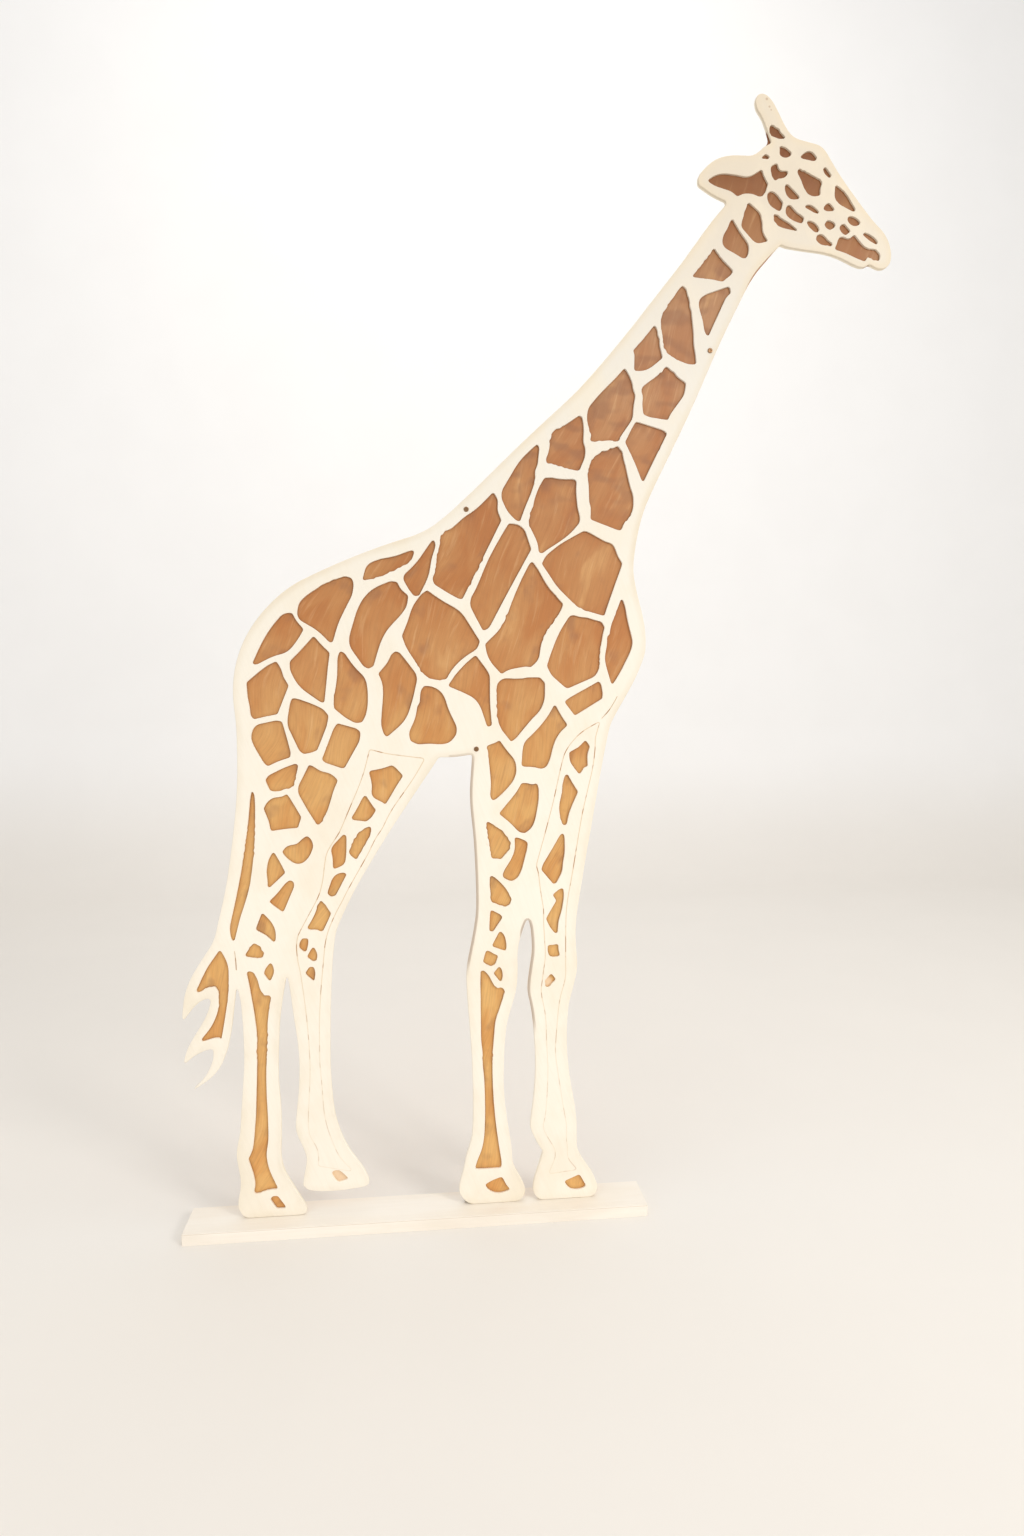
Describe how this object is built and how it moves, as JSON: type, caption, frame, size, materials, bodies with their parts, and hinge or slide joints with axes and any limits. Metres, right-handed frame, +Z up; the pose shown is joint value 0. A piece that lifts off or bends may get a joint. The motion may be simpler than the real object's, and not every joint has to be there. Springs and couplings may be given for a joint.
{
  "type": "carved giraffe statue",
  "caption": "Tall flat giraffe cut from plywood, a pierced cream front panel over a stained wood back panel, standing on a plank base.",
  "frame": {"origin": "middle of the plank's underside, where it rests on the floor", "axes": "+X along the plank toward the nose, -Y out of the painted front, +Z up"},
  "size_m": [1.2244, 0.08, 1.9348],
  "materials": {
    "base_cream_paint": "cream painted plank, brushed",
    "stained_plywood": "brown stained plywood, satin",
    "cream_paint": "cream painted plywood, matt",
    "face_screw_metal": "dull browned brass",
    "bracket_steel": "zinc plated sheet",
    "fixing_steel": "zinc plated screw"
  },
  "bodies": {
    "root": {"base_board": "base_cream_paint", "back_panel": "stained_plywood", "front_fretwork": "cream_paint", "far_hind_leg_inlay": "cream_paint", "far_front_leg_inlay": "cream_paint", "neck_screw": "face_screw_metal", "withers_screw": "face_screw_metal", "belly_screw": "face_screw_metal", "near_hind_bracket": "bracket_steel", "near_hind_bracket_panel_screw_left": "fixing_steel", "near_hind_bracket_base_screw_left": "fixing_steel", "near_hind_bracket_panel_screw_right": "fixing_steel", "near_hind_bracket_base_screw_right": "fixing_steel", "near_front_bracket": "bracket_steel", "near_front_bracket_panel_screw_left": "fixing_steel", "near_front_bracket_base_screw_left": "fixing_steel", "near_front_bracket_panel_screw_right": "fixing_steel", "near_front_bracket_base_screw_right": "fixing_steel", "far_front_bracket": "bracket_steel", "far_front_bracket_panel_screw_left": "fixing_steel", "far_front_bracket_base_screw_left": "fixing_steel", "far_front_bracket_panel_screw_right": "fixing_steel", "far_front_bracket_base_screw_right": "fixing_steel"}
  },
  "joints": []
}
